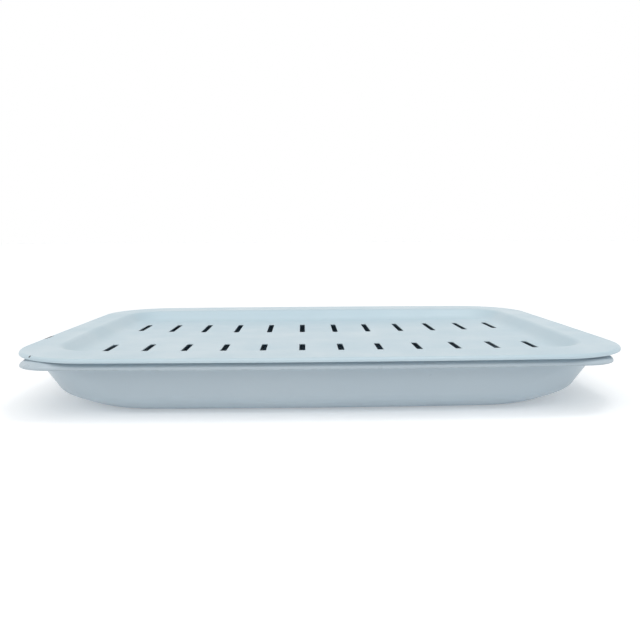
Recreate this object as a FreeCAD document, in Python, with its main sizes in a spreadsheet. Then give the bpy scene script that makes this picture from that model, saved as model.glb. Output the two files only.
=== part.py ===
import FreeCAD, Part
import math
import os
import Sketcher
from FreeCAD import Placement, Rotation, Vector

# Two-piece broiler pan: a drawn sheet-steel drip pan, and the slotted grill that lies on its rim.
# Millimetres. +X runs along the long side, +Y away from the front and +Z up. The origin is the
# point of the table under the middle of the grill.

doc = FreeCAD.newDocument("broiler_pan")

# Driving dimensions: name, value, what it measures
SIZES = [
    ("pan_length", 398.0, "drip pan over its rim, left to right"),
    ("pan_width", 314.0, "drip pan over its rim, front to back"),
    ("pan_corner", 34.0, "corner radius of the rim's edge"),
    ("pan_end_bow", 4.0, "how far the rim's short sides bulge"),
    ("pan_side_bow", 6.0, "how far the rim's long sides bulge"),
    ("pan_height", 40.0, "table to the crest that carries the grill"),
    ("pan_sheet", 1.0, "enamelled sheet of the drip pan"),
    ("rim_droop", 5.4, "how far the rim falls from crest to edge"),
    ("rim_run", 5.3, "how far the falling part of the rim reaches out"),
    ("rim_lip", 1.8, "upright edge at the end of the rim"),
    ("rim_bend", 1.6, "bend between the falling rim and its upright edge"),
    ("crest_bend", 2.2, "bends on both sides of the crest"),
    ("mouth_length", 381.0, "well at the level of the crest, left to right"),
    ("mouth_width", 297.0, "well at the level of the crest, front to back"),
    ("mouth_corner", 54.0, "corner radius of the well at the crest"),
    ("mouth_end_bow", 3.0, "how far the well's short sides bulge"),
    ("mouth_side_bow", 5.0, "how far the well's long sides bulge"),
    ("wall_run", 6.0, "how far the well's side leans inward from crest to floor"),
    ("floor_bend", 26.0, "large bend under the well's side, outside radius"),
    ("grill_length", 419.0, "grill over its rim, left to right"),
    ("grill_width", 322.0, "grill over its rim, front to back"),
    ("grill_corner", 56.0, "corner radius of the grill"),
    ("grill_end_bow", 6.0, "how far the grill's short sides bulge"),
    ("grill_side_bow", 6.0, "how far the grill's long sides bulge"),
    ("grill_sheet", 1.0, "enamelled sheet of the grill"),
    ("curl_drop", 3.2, "height of the grill's curled edge"),
    ("curl_bend", 2.6, "outside bend of the curled edge"),
    ("recess_length", 373.0, "recess at the level of the rim, left to right"),
    ("recess_width", 262.0, "recess at the level of the rim, front to back"),
    ("recess_corner", 32.0, "corner radius of the recess"),
    ("recess_end_bow", 4.0, "how far the recess's short sides bulge"),
    ("recess_side_bow", 6.0, "how far the recess's long sides bulge"),
    ("recess_run", 9.0, "how far the recess's sides lean inward"),
    ("recess_bend", 4.0, "bend where the rim turns down into the recess"),
    ("panel_drop", 11.5, "rim down to the panel"),
    ("panel_bend", 7.0, "bend where the recess's side meets the panel, outside radius"),
    ("slot_length", 52.0, "slot, front to back"),
    ("slot_width", 4.6, "slot, left to right"),
    ("slot_pitch", 30.0, "from one slot to the next in a row"),
    ("slot_count", 12, "slots in a row"),
    ("row_gap", 68.0, "clear panel between the two rows"),
    ("grill_shift", 2.8, "how far right of the drip pan the loose grill lies"),
]

# How near an edge has to lie to an outline to be taken as part of it
NEAR = 0.01

UP = Vector(0, 0, 1)
HALF_TURN = math.pi
FULL_TURN = 2 * math.pi

# Width of a square corner's bevel that just touches the round of radius one
BEVEL_SHARE = 2 - math.sqrt(2)

sheet = doc.addObject("Spreadsheet::Sheet", "sizes")
for row, (alias, value, meaning) in enumerate(SIZES, start=1):
    sheet.set("A%d" % row, meaning)
    sheet.set("B%d" % row, str(value))
    sheet.setAlias("B%d" % row, alias)
doc.recompute()


class Size:
    """A length worked out from the sheet: the text that binds it, and its value now."""

    def __init__(self, text, value):
        self.text = text
        self.value = value

    def __add__(self, other):
        other = as_size(other)
        return Size("(%s + %s)" % (self.text, other.text), self.value + other.value)

    def __sub__(self, other):
        other = as_size(other)
        return Size("(%s - %s)" % (self.text, other.text), self.value - other.value)

    def __mul__(self, other):
        other = as_size(other)
        return Size("(%s * %s)" % (self.text, other.text), self.value * other.value)

    def __truediv__(self, other):
        other = as_size(other)
        return Size("(%s / %s)" % (self.text, other.text), self.value / other.value)

    def __neg__(self):
        return Size("(0 - %s)" % self.text, -self.value)

    def root(self):
        return Size("sqrt(%s)" % self.text, math.sqrt(self.value))


def as_size(thing):
    return thing if isinstance(thing, Size) else Size(repr(thing), thing)


def cell(alias):
    return Size("sizes." + alias, float(sheet.get(alias)))


class Outline:
    """A rectangle with bulging sides and round corners."""

    def __init__(self, half_x, half_y, corner, end_radius, side_radius):
        self.half_x = half_x
        self.half_y = half_y
        self.corner = corner
        self.end_radius = end_radius
        self.side_radius = side_radius

    def grown(self, margin):
        """The same outline moved outward by margin, every arc about its old centre."""
        return Outline(self.half_x + margin, self.half_y + margin, self.corner + margin,
                       self.end_radius + margin, self.side_radius + margin)


def bow_radius(half, bow):
    """Radius of an arc that bulges by bow over a chord of twice half."""
    return (half * half + bow * bow) / (bow * 2)


def named_outline(word):
    """The outline whose five sizes start with this word."""
    half_x = cell(word + "_length") / 2
    half_y = cell(word + "_width") / 2
    return Outline(half_x, half_y, cell(word + "_corner"), bow_radius(half_y, cell(word + "_end_bow")),
                   bow_radius(half_x, cell(word + "_side_bow")))


def corner_centre(outline):
    """Centre of the corner arc that touches both bulging sides from inside."""
    end_x = outline.half_x.value - outline.end_radius.value
    side_y = outline.half_y.value - outline.side_radius.value
    reach_end = outline.end_radius.value - outline.corner.value
    reach_side = outline.side_radius.value - outline.corner.value
    gap = math.hypot(end_x, side_y)
    along = (reach_end ** 2 - reach_side ** 2 + gap ** 2) / (2 * gap)
    across = math.sqrt(reach_end ** 2 - along ** 2)
    unit_x = -end_x / gap
    unit_y = side_y / gap
    return end_x + along * unit_x - across * unit_y, along * unit_y + across * unit_x


def across_wall(thickness, lean):
    """Level width of a leaning sheet; lean is its run over its rise."""
    return thickness * (lean * lean + 1).root()


def mitre(thickness, lean):
    """How far a sheet's inside corner lies from its outside one where it bends by this lean."""
    return thickness * ((lean * lean + 1).root() - 1) / lean


def new_body(name):
    body = doc.addObject("PartDesign::Body", name)
    body.Label = name
    return body


def own_plane(body, role):
    """One of the body's own origin planes or axes."""
    for plane in body.Origin.OriginFeatures:
        if plane.Role == role:
            return plane
    raise ValueError("no plane " + role)


def new_sketch(body, name, height):
    """An empty level sketch, this high above the body's own level plane."""
    sketch = body.newObject("Sketcher::SketchObject", name)
    sketch.AttachmentSupport = [(own_plane(body, "XY_Plane"), "")]
    sketch.MapMode = "FlatFace"
    sketch.AttachmentOffset = Placement(Vector(0, 0, height.value), Rotation())
    sketch.setExpression("AttachmentOffset.Base.z", height.text)
    return sketch


def hold(sketch, kind, name, size, *where):
    """Add a dimension to a sketch and tie it to the sheet."""
    index = sketch.addConstraint(Sketcher.Constraint(kind, *where, size.value))
    sketch.renameConstraint(index, name)
    sketch.setExpression("Constraints." + name, size.text)


def add_arc(sketch, x, y, radius, start, stop):
    circle = Part.Circle(Vector(x, y, 0), UP, radius)
    return sketch.addGeometry(Part.ArcOfCircle(circle, start, stop), False)


def add_line(sketch, start, end):
    return sketch.addGeometry(Part.LineSegment(Vector(*start, 0), Vector(*end, 0)), False)


def join(sketch, kind, ring):
    """Tie the end of each curve in a closed ring to the start of the next."""
    for first, second in zip(ring, ring[1:] + ring[:1]):
        sketch.addConstraint(Sketcher.Constraint(kind, first, 2, second, 1))


def outline_sketch(body, name, outline, height):
    """Eight tangent arcs, fully constrained: the four bulging sides and the four corners."""
    sketch = new_sketch(body, name, height)
    end_centre = outline.end_radius - outline.half_x
    side_centre = outline.side_radius - outline.half_y
    big_end = outline.end_radius.value
    big_side = outline.side_radius.value
    end_x = end_centre.value
    side_y = side_centre.value
    x, y = corner_centre(outline)
    radius = outline.corner.value
    end_angle = math.atan2(y, x + end_x)
    side_angle = math.atan2(y + side_y, x)

    right = add_arc(sketch, -end_x, 0, big_end, -end_angle, end_angle)
    right_back = add_arc(sketch, x, y, radius, end_angle, side_angle)
    back = add_arc(sketch, 0, -side_y, big_side, side_angle, HALF_TURN - side_angle)
    left_back = add_arc(sketch, -x, y, radius, HALF_TURN - side_angle, HALF_TURN - end_angle)
    left = add_arc(sketch, end_x, 0, big_end, HALF_TURN - end_angle, HALF_TURN + end_angle)
    left_front = add_arc(sketch, -x, -y, radius, HALF_TURN + end_angle, HALF_TURN + side_angle)
    front = add_arc(sketch, 0, side_y, big_side, HALF_TURN + side_angle, FULL_TURN - side_angle)
    right_front = add_arc(sketch, x, -y, radius, FULL_TURN - side_angle, FULL_TURN - end_angle)

    join(sketch, "Tangent", [right, right_back, back, left_back, left, left_front, front, right_front])
    for side in (right, left):
        sketch.addConstraint(Sketcher.Constraint("PointOnObject", side, 3, -1))
    for side in (back, front):
        sketch.addConstraint(Sketcher.Constraint("PointOnObject", side, 3, -2))
    sketch.addConstraint(Sketcher.Constraint("Equal", right, left))
    sketch.addConstraint(Sketcher.Constraint("Equal", back, front))
    for corner in (left_back, left_front, right_front):
        sketch.addConstraint(Sketcher.Constraint("Equal", right_back, corner))
    hold(sketch, "Radius", "end_radius", outline.end_radius, right)
    hold(sketch, "Radius", "side_radius", outline.side_radius, back)
    hold(sketch, "Radius", "corner_radius", outline.corner, right_back)
    hold(sketch, "DistanceX", "right_centre", end_centre, right, 3, -1, 1)
    hold(sketch, "DistanceX", "left_centre", end_centre, -1, 1, left, 3)
    hold(sketch, "DistanceY", "back_centre", side_centre, back, 3, -1, 1)
    hold(sketch, "DistanceY", "front_centre", side_centre, -1, 1, front, 3)
    sketch.recompute()
    return sketch


def extrude(body, kind, name, sketch, length, reverse):
    feature = body.newObject("PartDesign::" + kind, name)
    feature.Profile = sketch
    feature.Length = length.value
    feature.setExpression("Length", length.text)
    feature.Reversed = reverse
    doc.recompute()
    return feature


def pad(body, name, sketch, length):
    return extrude(body, "Pad", name, sketch, length, False)


def pocket(body, name, sketch, length):
    """Cut upward from the sketch."""
    before = body.Shape.Volume
    feature = extrude(body, "Pocket", name, sketch, length, True)
    if feature.Shape.Volume >= before:
        raise RuntimeError("%s cuts nothing" % name)
    return feature


def loft(body, kind, name, start, end):
    """Straight sides from one outline to another."""
    feature = body.newObject("PartDesign::" + kind, name)
    feature.Profile = start
    feature.Sections = [end]
    feature.Ruled = True
    doc.recompute()
    return feature


def hollow_out(body, name, tool):
    """Cut the form of another body out of this one."""
    before = body.Shape.Volume
    feature = body.newObject("PartDesign::Boolean", name)
    feature.setObjects([tool])
    feature.Type = "Cut"
    doc.recompute()
    if feature.Shape.Volume >= before:
        raise RuntimeError("%s cuts nothing" % name)
    return feature


def edges_along(shape, sketch):
    """Names of the edges that lie on a sketch's outline."""
    names = []
    for number, edge in enumerate(shape.Edges, start=1):
        points = [edge.valueAt((edge.FirstParameter + edge.LastParameter) / 2)]
        points += [vertex.Point for vertex in edge.Vertexes]
        if all(sketch.Shape.distToShape(Part.Vertex(point))[0] < NEAR for point in points):
            names.append("Edge%d" % number)
    return names


def rounded(body, name, base, radius, sketch):
    """Round the edges of base that lie along a sketch."""
    feature = body.newObject("PartDesign::Fillet", name)
    feature.Base = (base, edges_along(base.Shape, sketch))
    feature.Radius = radius.value
    feature.setExpression("Radius", radius.text)
    doc.recompute()
    return feature


def bevelled(body, name, base, width, sketch):
    """Bevel the edges of base that lie along a sketch."""
    feature = body.newObject("PartDesign::Chamfer", name)
    feature.Base = (base, edges_along(base.Shape, sketch))
    feature.Size = width.value
    feature.setExpression("Size", width.text)
    doc.recompute()
    return feature


def press_well(body, word, top, level, run, depth, thick, bend, top_bend):
    """A pressed hollow with leaning sides: its outside form, less its clear inside.

    top is its outline at this level, depth its depth, bend the outside bend round its foot.
    """
    lean = run / depth
    level_width = across_wall(thick, lean)
    foot = top.grown(-run)
    foot_level = level - depth

    outer_top = outline_sketch(body, word + "_outer_top", top.grown(level_width), level)
    outer_foot = outline_sketch(body, word + "_outer_foot", foot.grown(level_width - lean * thick),
                                foot_level - thick)
    step = loft(body, "AdditiveLoft", word + "_outside", outer_top, outer_foot)
    rounded(body, word + "_outer_bend", step, bend, outer_foot)

    inside = new_body(word + "_inside")
    inner_top = outline_sketch(inside, word + "_inner_top", top, level)
    inner_foot = outline_sketch(inside, word + "_inner_foot", foot, foot_level)
    form = loft(inside, "AdditiveLoft", word + "_form", inner_top, inner_foot)
    rounded(inside, word + "_inner_bend", form, bend - thick, inner_foot)
    step = hollow_out(body, word, inside)
    rounded(body, word + "_top_bend", step, top_bend, inner_top)


def form_pan_rim(body, thick, crest):
    """The rim: a cap with a falling flank and an upright edge, hollowed from below to a sheet."""
    rim = named_outline("pan")
    land = rim.grown(-cell("rim_run"))
    rim_level = crest - cell("rim_droop")
    edge_foot = rim_level - cell("rim_lip")
    edge_mitre = mitre(thick, cell("rim_run") / cell("rim_droop"))
    crest_mitre = mitre(thick, cell("rim_droop") / cell("rim_run"))

    foot = outline_sketch(body, "edge_foot", rim, edge_foot)
    pad(body, "upright_edge", foot, cell("rim_lip"))
    rim_top = outline_sketch(body, "edge_top", rim, rim_level)
    crest_edge = outline_sketch(body, "crest_edge", land, crest)
    step = loft(body, "AdditiveLoft", "falling_flank", rim_top, crest_edge)
    step = rounded(body, "rim_bend", step, cell("rim_bend"), rim_top)
    rounded(body, "flank_bend", step, cell("crest_bend"), crest_edge)

    hollow_foot = outline_sketch(body, "hollow_foot", rim.grown(-thick), edge_foot)
    pocket(body, "edge_hollow", hollow_foot, cell("rim_lip") - edge_mitre)
    hollow_edge = outline_sketch(body, "hollow_edge", rim.grown(-thick), rim_level - edge_mitre)
    hollow_top = outline_sketch(body, "hollow_top", land.grown(-crest_mitre), crest - thick)
    loft(body, "SubtractiveLoft", "flank_hollow", hollow_edge, hollow_top)


def make_drip_pan():
    body = new_body("drip_pan")
    thick = cell("pan_sheet")
    crest = cell("pan_height")
    form_pan_rim(body, thick, crest)
    press_well(body, "well", named_outline("mouth"), crest, cell("wall_run"), crest - thick, thick,
               cell("floor_bend"), cell("crest_bend"))
    return body


def form_grill_rim(body, thick):
    """The broad rim: a plate with a curled edge, hollowed from below to a sheet."""
    rim = named_outline("grill")
    curl_foot = thick - cell("curl_drop")
    foot = outline_sketch(body, "curl_foot", rim, curl_foot)
    step = pad(body, "rim_plate", foot, cell("curl_drop"))
    rim_top = outline_sketch(body, "rim_top", rim, thick)
    rounded(body, "curl", step, cell("curl_bend"), rim_top)
    hollow_foot = outline_sketch(body, "hollow_foot", rim.grown(-thick), curl_foot)
    step = pocket(body, "rim_hollow", hollow_foot, cell("curl_drop") - thick)
    hollow_top = outline_sketch(body, "hollow_top", rim.grown(-thick), as_size(0.0))
    bevelled(body, "curl_inside", step, (cell("curl_bend") - thick) * BEVEL_SHARE, hollow_top)


def make_slotted_grill():
    """The grill stands with the underside of its rim at zero."""
    body = new_body("slotted_grill")
    thick = cell("grill_sheet")
    drop = cell("panel_drop")
    form_grill_rim(body, thick)
    press_well(body, "recess", named_outline("recess"), thick, cell("recess_run"), drop, thick,
               cell("panel_bend"), cell("recess_bend"))
    cut_slots(body, -drop, thick * 2)
    return body


def cut_slots(body, underside, reach):
    """Two rows of long slots through the panel: one slot, repeated along X, mirrored front to back."""
    radius = cell("slot_width") / 2
    straight = cell("slot_length") - cell("slot_width")
    first_x = cell("slot_pitch") * (cell("slot_count") - 1) / 2
    near_y = cell("row_gap") / 2 + radius
    low = near_y.value
    high = (near_y + straight).value
    x = -first_x.value
    half = radius.value
    sketch = new_sketch(body, "slot_outline", underside)
    near = add_arc(sketch, x, low, half, HALF_TURN, FULL_TURN)
    right = add_line(sketch, (x + half, low), (x + half, high))
    far = add_arc(sketch, x, high, half, 0, HALF_TURN)
    left = add_line(sketch, (x - half, high), (x - half, low))
    join(sketch, "Tangent", [near, right, far, left])
    sketch.addConstraint(Sketcher.Constraint("Vertical", right))
    sketch.addConstraint(Sketcher.Constraint("Vertical", left))
    hold(sketch, "Radius", "half_width", radius, near)
    hold(sketch, "DistanceX", "first_x", first_x, near, 3, -1, 1)
    hold(sketch, "DistanceY", "near_y", near_y, -1, 1, near, 3)
    hold(sketch, "DistanceY", "straight", straight, near, 3, far, 3)
    slot = pocket(body, "slot", sketch, reach)

    pattern = body.newObject("PartDesign::MultiTransform", "slot_rows")
    pattern.Originals = [slot]
    body.Tip = pattern
    row = body.newObject("PartDesign::LinearPattern", "slot_row")
    row.Direction = (own_plane(body, "X_Axis"), [""])
    row.Mode = "Spacing"
    row.Offset = cell("slot_pitch").value
    row.setExpression("Offset", cell("slot_pitch").text)
    row.Occurrences = int(cell("slot_count").value)
    row.setExpression("Occurrences", cell("slot_count").text)
    mirrored = body.newObject("PartDesign::Mirrored", "second_row")
    mirrored.MirrorPlane = (own_plane(body, "XZ_Plane"), [""])
    pattern.Transformations = [row, mirrored]
    body.Tip = pattern
    doc.recompute()
    if pattern.Shape.Volume >= slot.Shape.Volume:
        raise RuntimeError("the rows of slots cut nothing")


def check_and_export(bodies):
    """Stop at any failed feature, then write each piece to its own file."""
    for thing in doc.Objects:
        if "Invalid" in thing.State or "Error" in thing.State:
            raise RuntimeError("%s failed" % thing.Name)
    for body in bodies:
        shape = body.Shape
        if shape.isNull() or not shape.isValid() or len(shape.Solids) != 1:
            raise RuntimeError("%s is not one sound solid" % body.Label)
    os.makedirs("parts", exist_ok=True)
    for body in bodies:
        body.Shape.exportStep("parts/%s.step" % body.Label)
        print("%s %.0f mm3" % (body.Label, body.Shape.Volume))


drip_pan = make_drip_pan()
slotted_grill = make_slotted_grill()
drip_pan.Placement = Placement(Vector(-cell("grill_shift").value, 0, 0), Rotation())
drip_pan.setExpression("Placement.Base.x", (-cell("grill_shift")).text)
slotted_grill.Placement = Placement(Vector(0, 0, cell("pan_height").value), Rotation())
slotted_grill.setExpression("Placement.Base.z", cell("pan_height").text)
doc.recompute()
check_and_export([drip_pan, slotted_grill])
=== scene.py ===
import math

import bmesh
import bpy
from mathutils import Matrix, Vector
from mathutils.geometry import delaunay_2d_cdt


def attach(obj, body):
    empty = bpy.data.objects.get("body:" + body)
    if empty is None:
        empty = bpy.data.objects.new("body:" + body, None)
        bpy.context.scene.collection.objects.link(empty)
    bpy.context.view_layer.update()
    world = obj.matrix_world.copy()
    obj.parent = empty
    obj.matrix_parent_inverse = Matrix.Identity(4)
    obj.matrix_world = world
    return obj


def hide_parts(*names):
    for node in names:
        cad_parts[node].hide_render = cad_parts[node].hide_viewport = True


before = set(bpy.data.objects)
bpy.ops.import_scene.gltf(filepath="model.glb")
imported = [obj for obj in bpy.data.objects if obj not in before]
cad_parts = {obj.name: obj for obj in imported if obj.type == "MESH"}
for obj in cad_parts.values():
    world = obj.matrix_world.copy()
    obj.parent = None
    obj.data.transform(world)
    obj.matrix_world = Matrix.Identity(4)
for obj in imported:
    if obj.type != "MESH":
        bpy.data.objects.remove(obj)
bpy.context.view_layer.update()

# Lengths are in millimetres up to the materials, and the meshes are scaled to metres as they are made.
# The materials, the stage, the lights and the camera are in metres.
MM = 0.001
PAN_SHIFT = -2.8
CREST = 40.0
SHEET = 1.0
HALF_SHEET = SHEET / 2

# Radii that round the cut edge of both sheets
EDGE_ROUND = 0.42
EDGE_ROUND_INSIDE = 0.4


def add(name, data):
    """Put a new object that holds data into the scene."""
    obj = bpy.data.objects.new(name, data)
    bpy.context.scene.collection.objects.link(obj)
    return obj


# Outlines and section paths

END_STEPS = 9
CORNER_STEPS = 20
SIDE_STEPS = 15


class Outline:
    """A rectangle with bulging sides and round corners."""

    def __init__(self, half_x, half_y, corner, end_radius, side_radius):
        self.half_x = half_x
        self.half_y = half_y
        self.corner = corner
        self.end_radius = end_radius
        self.side_radius = side_radius

    def grown(self, margin):
        return Outline(self.half_x + margin, self.half_y + margin, self.corner + margin,
                       self.end_radius + margin, self.side_radius + margin)


def bow_radius(half, bow):
    """Radius of an arc that bulges by bow over a chord of twice half."""
    return (half ** 2 + bow ** 2) / (2 * bow)


def bowed(half_x, half_y, corner, end_bow, side_bow):
    return Outline(half_x, half_y, corner, bow_radius(half_y, end_bow), bow_radius(half_x, side_bow))


def arc(centre_x, centre_y, radius, start, stop, steps, with_stop=False):
    """Points of an arc, without the last one unless with_stop is set."""
    points = []
    count = steps + 1 if with_stop else steps
    for i in range(count):
        turn = start + (stop - start) * i / steps
        points.append((centre_x + radius * math.cos(turn), centre_y + radius * math.sin(turn)))
    return points


def ring(outline):
    """Points of an outline, the same number for every outline, starting at +X."""
    end_x = outline.half_x - outline.end_radius
    side_y = outline.half_y - outline.side_radius
    # the corner's centre is where two circles round the centres of the end's and the side's arc meet
    reach_end = outline.end_radius - outline.corner
    reach_side = outline.side_radius - outline.corner
    gap = math.hypot(end_x, side_y)
    along = (reach_end ** 2 - reach_side ** 2 + gap ** 2) / (2 * gap)
    across = math.sqrt(max(reach_end ** 2 - along ** 2, 0.0))
    toward_x = -end_x / gap
    toward_y = side_y / gap
    corner_x = end_x + along * toward_x - across * toward_y
    corner_y = along * toward_y + across * toward_x
    corner_start = math.atan2(corner_y, corner_x - end_x)
    corner_stop = math.atan2(corner_y - side_y, corner_x)
    quarter = arc(end_x, 0.0, outline.end_radius, 0.0, corner_start, END_STEPS)
    quarter += arc(corner_x, corner_y, outline.corner, corner_start, corner_stop, CORNER_STEPS)
    quarter += arc(0.0, side_y, outline.side_radius, corner_stop, math.pi / 2, SIDE_STEPS, True)
    half = quarter + [(-x, y) for x, y in reversed(quarter[:-1])]
    return half + [(x, -y) for x, y in reversed(half[1:-1])]


def bend_path(corners, step):
    """Corners (u, z, radius) to a polyline whose inner corners are arcs, cut about every step degrees."""
    out = []
    for i, (u, z, radius) in enumerate(corners):
        here = Vector((u, z))
        if i in (0, len(corners) - 1):
            out.append(here)
            continue
        before = (Vector(corners[i - 1][:2]) - here).normalized()
        after = (Vector(corners[i + 1][:2]) - here).normalized()
        turn = math.pi - before.angle(after)
        tangent = radius * math.tan(turn / 2)
        centre = here + (before + after).normalized() * (radius / math.cos(turn / 2))
        first = here + before * tangent - centre
        last = here + after * tangent - centre
        cuts = max(2, math.ceil(math.degrees(turn) / step))
        for k in range(cuts + 1):
            done = turn * k / cuts
            spoke = (first * math.sin(turn - done) + last * math.sin(done)) / math.sin(turn)
            out.append(centre + spoke)
    return out


def finer(path, longest):
    """Split the pieces of a path that are longer than longest."""
    out = [path[0]]
    for start, stop in zip(path, path[1:]):
        cuts = max(1, math.ceil((stop - start).length / longest))
        for k in range(1, cuts + 1):
            out.append(start.lerp(stop, k / cuts))
    return out


# Mesh building

class Build:
    """Vertices, faces and the edge mask of one piece."""

    def __init__(self):
        self.points = []
        self.faces = []
        self.edge_mask = []

    def point(self, x, y, z, edge=0.0):
        self.points.append((x, y, z))
        self.edge_mask.append(edge)
        return len(self.points) - 1

    def loop(self, flat_points, z, edge=0.0):
        return [self.point(x, y, z, edge) for x, y in flat_points]

    def strip(self, first, second):
        """Faces between two closed loops."""
        count = len(first)
        for i in range(count):
            j = (i + 1) % count
            self.faces.append((first[i], first[j], second[j], second[i]))

    def strips(self, loops):
        for first, second in zip(loops, loops[1:]):
            self.strip(first, second)

    def mesh(self, name, shift=0.0):
        """The piece as an object in metres, moved along X by shift."""
        data = bpy.data.meshes.new(name)
        data.from_pydata([((x + shift) * MM, y * MM, z * MM) for x, y, z in self.points], [], self.faces)
        work = bmesh.new()
        work.from_mesh(data)
        bmesh.ops.recalc_face_normals(work, faces=work.faces)
        work.to_mesh(data)
        work.free()
        mask = data.attributes.new("edge", "FLOAT", "POINT")
        mask.data.foreach_set("value", self.edge_mask)
        data.polygons.foreach_set("use_smooth", [True] * len(data.polygons))
        data.update()
        return add(name, data)


# The drip pan's rim

RIM = bowed(199.0, 157.0, 25.0, 4.0, 6.0)
CREST_CORNER = 32.0
RIM_RUN = 5.3
RIM_DROOP = 4.9
RIM_LIP = 1.8
RIM_FOOT = CREST - RIM_DROOP
LIP_FOOT = RIM_FOOT - RIM_LIP
# how far the rim's outline carries the level crest inward, before the well's outline takes over
CREST_OVERLAP = 1.2
RIM_TOP_BEND = 2.2
RIM_FOOT_BEND = 2.0
RIM_TOP_BEND_INSIDE = 1.2
RIM_FOOT_BEND_INSIDE = 0.8
# how far the sheet's thickness moves the corners of the rim's section
RIM_MITRE = 0.42
RIM_STEP = 9.0
RIM_STEP_INSIDE = 12.0
RIM_LONGEST = 2.2
# the worn edge begins this far below the rim's foot, and the underside is worn less
WORN_START = 0.9
UNDERSIDE_WEAR = 0.3


def rim_outline(inset):
    """Outline of the falling rim; its corners are fuller at the edge than at the crest."""
    outline = RIM.grown(-inset)
    share = min(max(inset / RIM_RUN, 0.0), 1.0)
    outline.corner = RIM.corner + (CREST_CORNER - RIM.corner) * share - max(inset - RIM_RUN, 0.0)
    return outline


# The drip pan's well

WELL_HALF_X = 191.2
WELL_HALF_Y = 149.3
WELL_END_BOW = 3.0
WELL_SIDE_BOW = 5.0
WELL_CORNER_TOP = 26.0
WELL_CORNER_FOOT = 72.0
WELL_LEAST_CORNER = 4.0
WELL_RUN = 8.6
# Corners of the well's section: how far in from its mouth, the level and the bend
KNUCKLE = (6.45, 10.0, 9.0)
FLOOR_TURN = (24.0, 0.0, 26.0)
KNUCKLE_INSIDE = (6.31, 10.65, 8.0)
FLOOR_TURN_INSIDE = (23.24, 1.0, 25.0)
MOUTH_BEND = 0.9
MOUTH_BEND_INSIDE = 2.2
# how far the crest runs level outward from the mouth, under the sheet and on top
CREST_REACH = 1.4
CREST_REACH_INSIDE = 1.9
# an end of the floor's path that only gives its direction
FLOOR_END = 90.0
WELL_STEP = 4.0
WELL_LONGEST = 4.5
# the flat floor: a support loop, then a core further in
FLOOR_SUPPORT = 1.5
FLOOR_CORE = 30.0
FLOOR_LEAST_CORNER = 3.0


def well_outline(inset, z, inward):
    """Outline of the well's surface; inward is 0 on its outside and the sheet's level width inside."""
    corner = WELL_CORNER_TOP + (WELL_CORNER_FOOT - WELL_CORNER_TOP) * (CREST - z) / CREST - inward
    corner -= max(inset - WELL_RUN, 0.0) + min(inset, 0.0)
    half_x = WELL_HALF_X - inset - inward
    half_y = WELL_HALF_Y - inset - inward
    return bowed(half_x, half_y, max(corner, WELL_LEAST_CORNER), WELL_END_BOW, WELL_SIDE_BOW)


def make_pan():
    build = Build()
    lean = WELL_RUN / CREST
    slant = math.sqrt(1 + lean * lean)
    # each station is an outline, its level and how worn it is
    stations = []

    # inside of the well, from the floor up to the crest
    path = bend_path([(FLOOR_END, SHEET, 0), FLOOR_TURN_INSIDE, KNUCKLE_INSIDE,
                      (0.0, CREST, MOUTH_BEND_INSIDE), (-CREST_REACH_INSIDE, CREST, 0)], WELL_STEP)
    for spot in finer(path[1:], WELL_LONGEST):
        stations.append((well_outline(spot.x, spot.y, SHEET * slant), spot.y, 0.0))

    # rim, from the crest out and down to the edge
    path = bend_path([(-RIM_RUN - CREST_OVERLAP, CREST, 0), (-RIM_RUN, CREST, RIM_TOP_BEND),
                      (0.0, RIM_FOOT, RIM_FOOT_BEND), (0.0, LIP_FOOT, EDGE_ROUND),
                      (-HALF_SHEET, LIP_FOOT, 0)], RIM_STEP)
    for spot in finer(path, RIM_LONGEST):
        wear = 1.0 if spot.y < RIM_FOOT - WORN_START else 0.0
        stations.append((rim_outline(-spot.x), spot.y, wear))

    # underneath, from the edge back up to the crest and down the outside of the well
    path = bend_path([(-HALF_SHEET, LIP_FOOT, 0), (-SHEET, LIP_FOOT, EDGE_ROUND_INSIDE),
                      (-SHEET, RIM_FOOT - RIM_MITRE, RIM_FOOT_BEND_INSIDE),
                      (-RIM_RUN - RIM_MITRE, CREST - SHEET, RIM_TOP_BEND_INSIDE),
                      (-RIM_RUN - CREST_OVERLAP, CREST - SHEET, 0)], RIM_STEP_INSIDE)
    for spot in finer(path[1:], RIM_LONGEST):
        wear = UNDERSIDE_WEAR if spot.y < RIM_FOOT else 0.0
        stations.append((rim_outline(-spot.x), spot.y, wear))
    path = bend_path([(-CREST_REACH, CREST - SHEET, 0), (lean * SHEET, CREST - SHEET, MOUTH_BEND),
                      KNUCKLE, FLOOR_TURN, (FLOOR_END, 0.0, 0)], WELL_STEP)
    for spot in finer(path[:-1], WELL_LONGEST):
        stations.append((well_outline(spot.x, spot.y, 0.0), spot.y, 0.0))

    loops = [build.loop(ring(outline), z, wear) for outline, z, wear in stations]
    build.strips(loops)
    for index, z in ((0, SHEET), (-1, 0.0)):
        outline = stations[index][0]
        inset = min(outline.corner - FLOOR_LEAST_CORNER, FLOOR_CORE)
        support = build.loop(ring(outline.grown(-FLOOR_SUPPORT)), z)
        core = build.loop(ring(outline.grown(-inset)), z)
        build.strips([loops[index], support, core])
        build.faces.append(tuple(core))
    return build.mesh("drip_pan_enamelled", PAN_SHIFT)


# The slotted grill's rim and recess

GRILL = bowed(209.44, 158.0, 58.0, 1.0, 5.0)
GRILL_TOP = CREST + SHEET
CURL_DROP = 2.75
CURL_FOOT = GRILL_TOP - CURL_DROP
CURL_BEND = 2.2
CURL_STEP = 7.0
CURL_STEP_INSIDE = 12.0
# how far in from its edge and out from the recess the broad rim is drawn
RIM_FROM_EDGE = 12.0
RIM_FROM_RECESS = 6.0
RIM_WIDEST = 6.0
# the worn edge begins this far above the curl's foot
CURL_WORN = 0.5

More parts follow.
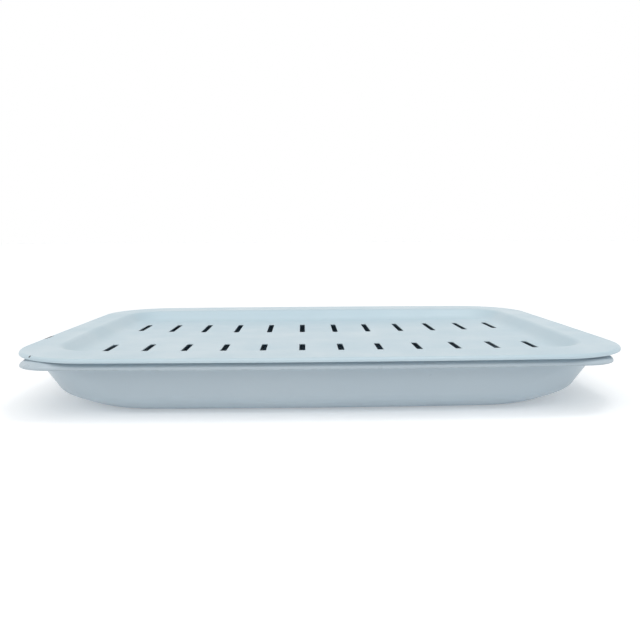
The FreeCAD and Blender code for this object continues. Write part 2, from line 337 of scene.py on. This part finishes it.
RECESS_HALF_X = 186.5
RECESS = bowed(RECESS_HALF_X, 126.4, 31.0, 4.0, 6.0)
RECESS_RUN = 9.0
RECESS_BEND = 5.5
# tight enough to stay clear of the bend inside the pan's mouth
RECESS_BEND_UNDER = 4.5
PANEL_DROP = 10.5
PANEL_TOP = GRILL_TOP - PANEL_DROP
PANEL_UNDER = PANEL_TOP - SHEET
PANEL_BEND = 11.0
# an end of the panel's path that only gives its direction
PANEL_END = 40.0
RECESS_STEP = 5.0
RECESS_LONGEST = 2.0
DISH = 2.1

# The panel's slots and mesh

SLOT_HALF = 2.3
SLOT_SHIFT = 0.8
# distance from the middle, near end and far end of each slot in a quarter of the panel
SLOTS = [
    (15.0, 33.0, 88.5),
    (45.0, 33.0, 88.2),
    (75.0, 33.0, 87.6),
    (104.6, 33.2, 86.4),
    (133.8, 34.6, 84.4),
    (162.2, 38.6, 82.2),
]
SLOT_ARC_STEPS = 12
SLOT_SIDE_STEPS = 8
# the soft edge round a slot: how far out it starts, its depth on top and below, and its steps
SOFT_START = 0.9
SOFT_TOP = 0.5
SOFT_UNDER = 0.3
SOFT_TOP_STEPS = 5
SOFT_UNDER_STEPS = 3
SLOT_LEAST_WEAR = 0.35
# triangles whose middle lies nearer to a slot than this are its opening
OPENING_MARGIN = 0.85
# free points of the panel: their spacing and number, their distance from slots and the corners left out
GRID = 6.0
GRID_X = 40
GRID_Y = 30
GRID_CLEAR = 2.4
GRID_CORNER = 40
GRID_FILL = 0.88
MERGE_BELOW = 1e-6


def dish(x):
    """How far the panel rises above its middle at x."""
    return DISH * (x / RECESS_HALF_X) ** 2


def sunk(z, top):
    """Share of the dish that a level of the recess's side follows, from 0 at its top to 1 at the panel."""
    share = min(max((top - z) / PANEL_DROP, 0.0), 1.0)
    return share * share * (3 - 2 * share)


def dished_loop(build, flat_points, z, wear=0.0, share=1.0):
    return [build.point(x, y, z + share * dish(x), wear) for x, y in flat_points]


def slot_loop(centre_x, centre_y, straight, margin):
    """Outline of a slot grown by margin; straight is half the length of its straight sides."""
    radius = SLOT_HALF + margin
    points = arc(centre_x, centre_y + straight, radius, 0.0, math.pi, SLOT_ARC_STEPS, True)
    for i in range(1, SLOT_SIDE_STEPS):
        points.append((centre_x - radius, centre_y + straight - 2 * straight * i / SLOT_SIDE_STEPS))
    points += arc(centre_x, centre_y - straight, radius, math.pi, 2 * math.pi, SLOT_ARC_STEPS, True)
    for i in range(1, SLOT_SIDE_STEPS):
        points.append((centre_x + radius, centre_y - straight + 2 * straight * i / SLOT_SIDE_STEPS))
    return points


def slot_centres():
    """Centre and half the straight length of every slot."""
    found = []
    for x, near, far in SLOTS:
        middle = (near + far) / 2
        straight = (far - near) / 2 - SLOT_HALF
        for side in (-1, 1):
            for row in (-1, 1):
                found.append((SLOT_SHIFT + side * x, row * middle, straight))
    return found


def panel_grid(boundary, centres):
    """Free points inside the boundary, clear of its corners and of the slots."""
    reach_x = max(x for x, y in boundary)
    reach_y = max(y for x, y in boundary)
    found = []
    for i in range(-GRID_X, GRID_X + 1):
        for j in range(-GRID_Y, GRID_Y + 1):
            x = i * GRID
            y = j * GRID
            past_x = max(abs(x) - reach_x + GRID_CORNER, 0) / GRID_CORNER
            past_y = max(abs(y) - reach_y + GRID_CORNER, 0) / GRID_CORNER
            if math.hypot(past_x, past_y) > GRID_FILL:
                continue
            if any(abs(x - slot_x) < SLOT_HALF + GRID_CLEAR
                   and abs(y - slot_y) < straight + SLOT_HALF + GRID_CLEAR
                   for slot_x, slot_y, straight in centres):
                continue
            found.append((x, y))
    return found


def panel_plan(boundary, slots, centres):
    """Points and triangles that fill the boundary and leave out the slots."""
    points = []
    edges = []
    for outline in [boundary] + slots:
        base = len(points)
        count = len(outline)
        points += outline
        edges += [(base + i, base + (i + 1) % count) for i in range(count)]
    points += panel_grid(boundary, centres)
    merged, _, faces, _, _, _ = delaunay_2d_cdt([Vector(p) for p in points], edges, [], 0, MERGE_BELOW)
    if len(merged) != len(points):
        raise RuntimeError("the panel's plan merged points")
    keep = []
    for face in faces:
        x = sum(merged[i].x for i in face) / len(face)
        y = sum(merged[i].y for i in face) / len(face)
        if any(math.hypot(x - slot_x, max(abs(y - slot_y) - straight, 0.0)) < SLOT_HALF + OPENING_MARGIN
               for slot_x, slot_y, straight in centres):
            continue
        keep.append(tuple(face))
    return points, keep


def slot_profile():
    """Margin, level and wear of each loop from the top of a slot's edge to its underside."""
    profile = []
    for i in range(SOFT_TOP_STEPS + 1):
        turn = math.pi / 2 * i / SOFT_TOP_STEPS
        margin = SOFT_TOP * (1 - math.sin(turn))
        z = PANEL_TOP - SOFT_TOP * (1 - math.cos(turn))
        profile.append((margin, z, SLOT_LEAST_WEAR + (1 - SLOT_LEAST_WEAR) * i / SOFT_TOP_STEPS))
    for i in range(SOFT_UNDER_STEPS + 1):
        turn = math.pi / 2 * (1 - i / SOFT_UNDER_STEPS)
        margin = SOFT_UNDER * (1 - math.sin(turn))
        z = PANEL_UNDER + SOFT_UNDER * (1 - math.cos(turn))
        profile.append((margin, z, 1.0))
    return profile


def make_grill():
    build = Build()
    lean = RECESS_RUN / PANEL_DROP
    slant = math.sqrt(1 + lean * lean)
    # each station is an outline, its level, how worn it is and how far it follows the dish
    stations = []

    # top side: panel edge, side of the recess, crease, broad rim, curl
    path = bend_path([(PANEL_END, PANEL_TOP, 0), (RECESS_RUN, PANEL_TOP, PANEL_BEND - SHEET),
                      (0.0, GRILL_TOP, RECESS_BEND), (-RIM_FROM_RECESS, GRILL_TOP, 0)], RECESS_STEP)
    for spot in finer(path[1:], RECESS_LONGEST):
        stations.append((RECESS.grown(-spot.x), spot.y, 0.0, sunk(spot.y, GRILL_TOP)))
    path = bend_path([(-RIM_FROM_EDGE, GRILL_TOP, 0), (0.0, GRILL_TOP, CURL_BEND),
                      (0.0, CURL_FOOT, EDGE_ROUND), (-HALF_SHEET, CURL_FOOT, 0)], CURL_STEP)
    for spot in finer(path, RIM_WIDEST):
        wear = 1.0 if spot.y < CURL_FOOT + CURL_WORN else 0.0
        stations.append((GRILL.grown(spot.x), spot.y, wear, 0.0))

    # underside, from the curl back to the panel
    path = bend_path([(-HALF_SHEET, CURL_FOOT, 0), (-SHEET, CURL_FOOT, EDGE_ROUND_INSIDE),
                      (-SHEET, CREST, CURL_BEND - SHEET), (-RIM_FROM_EDGE, CREST, 0)], CURL_STEP_INSIDE)
    for spot in finer(path[1:], RIM_WIDEST):
        stations.append((GRILL.grown(spot.x), spot.y, 0.0, 0.0))
    crease = lean * SHEET - SHEET * slant
    path = bend_path([(-RIM_FROM_RECESS, CREST, 0), (crease, CREST, RECESS_BEND_UNDER),
                      (crease + RECESS_RUN, PANEL_UNDER, PANEL_BEND), (PANEL_END, PANEL_UNDER, 0)],
                     RECESS_STEP)
    for spot in finer(path[:-1], RECESS_LONGEST):
        stations.append((RECESS.grown(-spot.x), spot.y, 0.0, sunk(spot.y, CREST)))

    loops = [dished_loop(build, ring(outline), z, wear, share) for outline, z, wear, share in stations]
    build.strips(loops)

    # the panel, above and below, with a wide opening at each slot
    centres = slot_centres()
    openings = [slot_loop(*centre, SOFT_START) for centre in centres]
    plan, triangles = panel_plan(ring(stations[0][0]), openings, centres)
    around_panel = len(loops[0])
    sides = []
    for z, boundary in ((PANEL_TOP, loops[0]), (PANEL_UNDER, loops[-1])):
        side = boundary + dished_loop(build, plan[around_panel:], z)
        for triangle in triangles:
            build.faces.append(tuple(side[i] for i in triangle))
        sides.append(side)

    # the soft edge of each slot joins the two openings
    around_slot = len(openings[0])
    profile = slot_profile()
    for k, centre in enumerate(centres):
        start = around_panel + k * around_slot
        stop = start + around_slot
        edge_loops = [sides[0][start:stop]]
        for margin, z, wear in profile:
            edge_loops.append(dished_loop(build, slot_loop(*centre, margin), z, wear))
        edge_loops.append(sides[1][start:stop])
        build.strips(edge_loops)
    return build.mesh("slotted_grill_enamelled")


# Materials

# Place and reach of the grill's marks: the chip on its left edge, and two specks at its front left corner
MARKS = [
    ((-0.2082, -0.0520, 0.0408), 0.0019),
    ((-0.2081, -0.0555, 0.0408), 0.0024),
    ((-0.2081, -0.0595, 0.0408), 0.0023),
    ((-0.2081, -0.0635, 0.0408), 0.0021),
    ((-0.2081, -0.0668, 0.0408), 0.0016),
    ((-0.1913, -0.1402, 0.0407), 0.0011),
    ((-0.1887, -0.1403, 0.0408), 0.0009),
]
MARK_COLOUR = (0.035, 0.035, 0.04)
MARK_RAGGED = 0.0009
MARK_ROUGHER = 0.5
ENAMEL_IOR = 1.52


class Shading:
    """Builds the nodes of a material or a world."""

    def __init__(self, owner):
        owner.use_nodes = True
        self.tree = owner.node_tree
        self.tree.nodes.clear()
        self.place = None

    def new(self, kind):
        return self.tree.nodes.new(kind)

    def give(self, socket, value):
        """Link another node's output to a socket, or set the socket to a number or a colour."""
        if isinstance(value, bpy.types.NodeSocket):
            self.tree.links.new(value, socket)
        elif isinstance(value, tuple) and socket.type == "RGBA":
            socket.default_value = (*value, 1.0)
        else:
            socket.default_value = value

    def where(self):
        """Place on the object, in metres."""
        if self.place is None:
            self.place = self.new("ShaderNodeTexCoord").outputs["Object"]
        return self.place

    def noise(self, scale, detail, roughness=0.5):
        node = self.new("ShaderNodeTexNoise")
        self.give(node.inputs["Scale"], scale)
        self.give(node.inputs["Detail"], detail)
        self.give(node.inputs["Roughness"], roughness)
        self.give(node.inputs["Vector"], self.where())
        return node.outputs["Fac"]

    def spread(self, value, low, high, out_low, out_high):
        """Map the range from low to high onto the range from out_low to out_high."""
        node = self.new("ShaderNodeMapRange")
        self.give(node.inputs["From Min"], low)
        self.give(node.inputs["From Max"], high)
        self.give(node.inputs["To Min"], out_low)
        self.give(node.inputs["To Max"], out_high)
        self.give(node.inputs["Value"], value)
        return node.outputs["Result"]

    def mix(self, factor, first, second):
        """Mix two colours."""
        node = self.new("ShaderNodeMix")
        node.data_type = "RGBA"
        self.give(node.inputs[0], factor)
        self.give(node.inputs[6], first)
        self.give(node.inputs[7], second)
        return node.outputs[2]

    def maths(self, kind, first, second):
        node = self.new("ShaderNodeMath")
        node.operation = kind
        self.give(node.inputs[0], first)
        self.give(node.inputs[1], second)
        return node.outputs[0]

    def apart(self, place):
        """Distance from a fixed place."""
        node = self.new("ShaderNodeVectorMath")
        node.operation = "DISTANCE"
        self.give(node.inputs[0], self.where())
        self.give(node.inputs[1], place)
        return node.outputs["Value"]

    def bump(self, height, strength, distance, normal=None):
        node = self.new("ShaderNodeBump")
        self.give(node.inputs["Strength"], strength)
        self.give(node.inputs["Distance"], distance)
        self.give(node.inputs["Height"], height)
        if normal is not None:
            self.give(node.inputs["Normal"], normal)
        return node.outputs["Normal"]

    def shown(self):
        """One for camera, glossy and transmission rays, and zero for the other rays."""
        paths = self.new("ShaderNodeLightPath")
        direct = self.maths("MAXIMUM", paths.outputs["Is Camera Ray"], paths.outputs["Is Glossy Ray"])
        return self.maths("MAXIMUM", direct, paths.outputs["Is Transmission Ray"])

    def background(self, colour, strength):
        node = self.new("ShaderNodeBackground")
        self.give(node.inputs["Color"], colour)
        self.give(node.inputs["Strength"], strength)
        return node.outputs[0]

    def finish(self, kind, surface):
        self.give(self.new(kind).inputs["Surface"], surface)


def enamel(name, pale, deep, edge_tone, rough, marks=()):
    """Glossy enamel: slow colour drift, fine mottling, worn edges in their own tone, small dark marks."""
    material = bpy.data.materials.new(name)
    shading = Shading(material)

    drift = shading.spread(shading.noise(9.0, 2.0), 0.35, 0.65, 0.0, 1.0)
    mottle = shading.spread(shading.noise(420.0, 3.0, 0.6), 0.3, 0.7, 0.0, 0.35)
    colour = shading.mix(drift, pale, deep)
    colour = shading.mix(mottle, colour, deep)

    edge = shading.new("ShaderNodeAttribute")
    edge.attribute_name = "edge"
    wear = shading.spread(shading.noise(160.0, 4.0, 0.7), 0.35, 0.62, 0.15, 0.8)
    worn = shading.maths("MULTIPLY", edge.outputs["Fac"], wear)
    colour = shading.mix(worn, colour, edge_tone)

    bare = None
    for place, reach in marks:
        ragged = shading.spread(shading.noise(900.0, 3.0), 0.3, 0.7, -MARK_RAGGED, MARK_RAGGED)
        distance = shading.maths("ADD", shading.apart(place), ragged)
        inside = shading.maths("LESS_THAN", distance, reach)
        bare = inside if bare is None else shading.maths("MAXIMUM", bare, inside)
    roughness = shading.spread(shading.noise(30.0, 3.0), 0.3, 0.7, rough * 0.8, rough * 1.3)
    if bare is not None:
        colour = shading.mix(bare, colour, MARK_COLOUR)
        roughness = shading.maths("ADD", roughness, shading.maths("MULTIPLY", bare, MARK_ROUGHER))

    # a slow waviness of the sheet under a fine grain of the enamel
    slow = shading.bump(shading.noise(26.0, 1.0), strength=0.25, distance=0.0006)
    fine = shading.bump(shading.noise(700.0, 2.0), strength=0.12, distance=0.00006, normal=slow)

    shader = shading.new("ShaderNodeBsdfPrincipled")
    shading.give(shader.inputs["Base Color"], colour)
    shading.give(shader.inputs["Roughness"], roughness)
    shading.give(shader.inputs["Normal"], fine)
    shading.give(shader.inputs["IOR"], ENAMEL_IOR)
    shading.finish("ShaderNodeOutputMaterial", shader.outputs["BSDF"])
    return material


def white_floor():
    """Pale floor that glows a little, and more for the rays that show it."""
    material = bpy.data.materials.new("studio_floor")
    shading = Shading(material)
    diffuse = shading.new("ShaderNodeBsdfDiffuse")
    tone = shading.mix(shading.noise(3.0, 2.0), (0.93, 0.93, 0.93), (0.96, 0.96, 0.96))
    shading.give(diffuse.inputs["Color"], tone)
    glow = shading.new("ShaderNodeEmission")
    shading.give(glow.inputs["Strength"], shading.spread(shading.shown(), 0.0, 1.0, 0.10, 0.27))
    both = shading.new("ShaderNodeAddShader")
    shading.give(both.inputs[0], diffuse.outputs["BSDF"])
    shading.give(both.inputs[1], glow.outputs[0])
    shading.finish("ShaderNodeOutputMaterial", both.outputs[0])
    return material


# Stage, lights and camera

STAGE_SIZE = 40.0
STAGE_LEVEL = -0.0002
SOFTBOX_PLACE = (0.37, -0.27, 1.46)
SOFTBOX_AIM = (0.11, 0.125, 0.036)
SOFTBOX_WIDTH = 0.27
SOFTBOX_HEIGHT = 0.34
SOFTBOX_POWER = 2.0
SUN_STRENGTH = 1.3
SUN_ANGLE = 75
SUN_DIRECTION = (0.08, 0.50, -1.0)
SKY_COLOUR = (0.97, 0.985, 1.0)
SKY_STRENGTH = 0.42
WHITE = (1.0, 1.0, 1.0)
# The camera was fitted to the photo; its angles are in radians, its lens and sensor in millimetres
CAMERA_PLACE = (-0.01323, -0.56815, 0.11487)
CAMERA_LENS = 37.66
CAMERA_SENSOR = 36.0
YAW = 0.02507
PITCH = 0.12159
ROLL = 0.00494
# more bounces than Blender's defaults, for the light between the two pieces
MAX_BOUNCES = 18
DIFFUSE_BOUNCES = 14


def aimed(direction):
    return direction.to_track_quat("-Z", "Y").to_euler()


def add_lights():
    softbox_data = bpy.data.lights.new("softbox", "AREA")
    softbox_data.shape = "RECTANGLE"
    softbox_data.size = SOFTBOX_WIDTH
    softbox_data.size_y = SOFTBOX_HEIGHT
    softbox_data.energy = SOFTBOX_POWER
    softbox = add("softbox", softbox_data)
    softbox.location = SOFTBOX_PLACE
    softbox.rotation_euler = aimed(Vector(SOFTBOX_AIM) - Vector(SOFTBOX_PLACE))
    sun_data = bpy.data.lights.new("high_window", "SUN")
    sun_data.energy = SUN_STRENGTH
    sun_data.angle = math.radians(SUN_ANGLE)
    sun = add("high_window", sun_data)
    sun.rotation_euler = aimed(Vector(SUN_DIRECTION))


def add_world():
    """A pale sky that lights the scene and is shown as plain white."""
    world = bpy.data.worlds.new("studio")
    bpy.context.scene.world = world
    shading = Shading(world)
    choice = shading.new("ShaderNodeMixShader")
    shading.give(choice.inputs[0], shading.shown())
    shading.give(choice.inputs[1], shading.background(SKY_COLOUR, SKY_STRENGTH))
    shading.give(choice.inputs[2], shading.background(WHITE, 1.0))
    shading.finish("ShaderNodeOutputWorld", choice.outputs[0])


def add_camera():
    forward = Vector((math.sin(YAW) * math.cos(PITCH), math.cos(YAW) * math.cos(PITCH), -math.sin(PITCH)))
    level = Vector((math.cos(YAW), -math.sin(YAW), 0.0))
    down = forward.cross(level)
    right = level * math.cos(ROLL) + down * math.sin(ROLL)
    under = down * math.cos(ROLL) - level * math.sin(ROLL)
    data = bpy.data.cameras.new("photo_camera")
    data.lens = CAMERA_LENS
    data.sensor_width = CAMERA_SENSOR
    camera = add("photo_camera", data)
    turn = Matrix((right, -under, -forward)).transposed().to_4x4()
    camera.matrix_world = Matrix.Translation(CAMERA_PLACE) @ turn
    bpy.context.scene.camera = camera


pan = make_pan()
grill = make_grill()
# The pan is the same enamel as the grill. Its colours are set darker than the grill's as painted shade for
# its shaded outer wall, on top of the enamel's own colour.
pan_enamel_shaded = enamel("pan_enamel_with_painted_shade", pale=(0.52, 0.605, 0.66), deep=(0.495, 0.585, 0.645),
                    edge_tone=(0.36, 0.43, 0.47), rough=0.33)
grill_finish = enamel("grill_enamel_finish", pale=(0.575, 0.705, 0.765), deep=(0.545, 0.685, 0.755),
                      edge_tone=(0.68, 0.78, 0.83), rough=0.35, marks=MARKS)
pan.data.materials.append(pan_enamel_shaded)
grill.data.materials.append(grill_finish)
for piece, node, slot in ((pan, "drip_pan", "pan_enamel"), (grill, "slotted_grill", "grill_enamel")):
    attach(piece, "root")
    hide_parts(node)

bpy.ops.mesh.primitive_plane_add(size=STAGE_SIZE, location=(0.0, 0.0, STAGE_LEVEL))
floor = bpy.context.object
floor.name = "studio_floor"
floor.data.materials.append(white_floor())

add_lights()
add_world()
add_camera()
bpy.context.scene.view_settings.view_transform = "Standard"
bpy.context.scene.cycles.max_bounces = MAX_BOUNCES
bpy.context.scene.cycles.diffuse_bounces = DIFFUSE_BOUNCES
